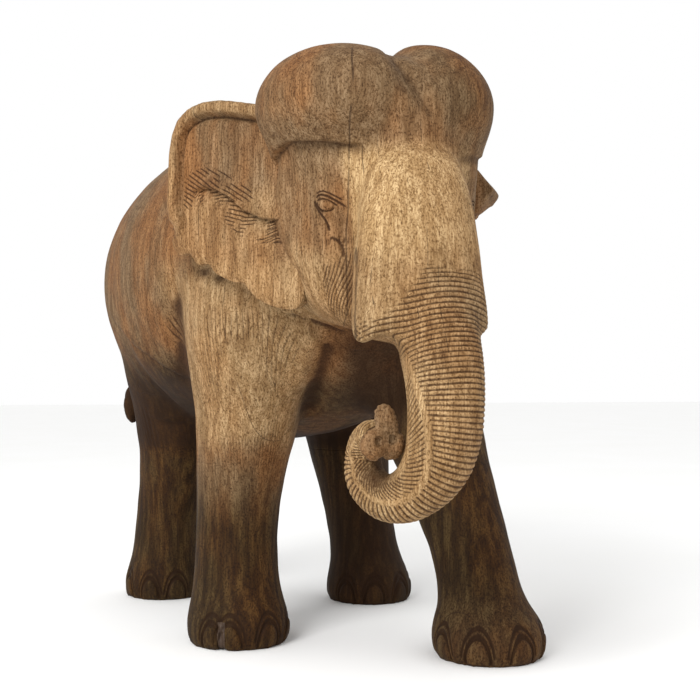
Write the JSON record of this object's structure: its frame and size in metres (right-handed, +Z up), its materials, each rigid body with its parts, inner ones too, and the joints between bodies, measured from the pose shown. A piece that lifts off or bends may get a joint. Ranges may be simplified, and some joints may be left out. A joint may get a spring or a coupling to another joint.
{
  "type": "carved wooden elephant",
  "caption": "Free-standing carved hardwood elephant in a walking pose, with its trunk curled under and broad ears.",
  "frame": {"origin": "on the floor, under the middle of the figure's bounding box", "axes": "+Z up, -Y the way the elephant faces, +X its left side"},
  "size_m": [0.6606, 1.173, 0.9315],
  "materials": {
    "body_wood": "weathered, unfinished, matte",
    "trunk_wood": "paler sapwood, weathered, matte",
    "leg_wood": "damp-darkened, weathered, matte",
    "filler_wood": "rough filler strip, matte",
    "peg": "turned hardwood, unfinished"
  },
  "bodies": {
    "root": {"torso": "body_wood", "head": "body_wood", "trunk": "trunk_wood", "trunk_tip": "trunk_wood", "ear_right": "body_wood", "ear_left": "body_wood", "tail": "leg_wood", "front_right_leg": "leg_wood", "front_left_leg": "leg_wood", "rear_right_leg": "leg_wood", "rear_left_leg": "leg_wood", "foot_crack_wedge": "filler_wood", "front_right_leg_peg_1": "peg", "front_right_leg_peg_2": "peg", "front_left_leg_peg_1": "peg", "front_left_leg_peg_2": "peg", "rear_right_leg_peg_1": "peg", "rear_right_leg_peg_2": "peg", "rear_left_leg_peg_1": "peg", "rear_left_leg_peg_2": "peg", "neck_peg_1": "peg", "neck_peg_2": "peg", "trunk_peg_1": "peg", "trunk_peg_2": "peg", "trunk_tip_peg": "peg"}
  },
  "joints": []
}
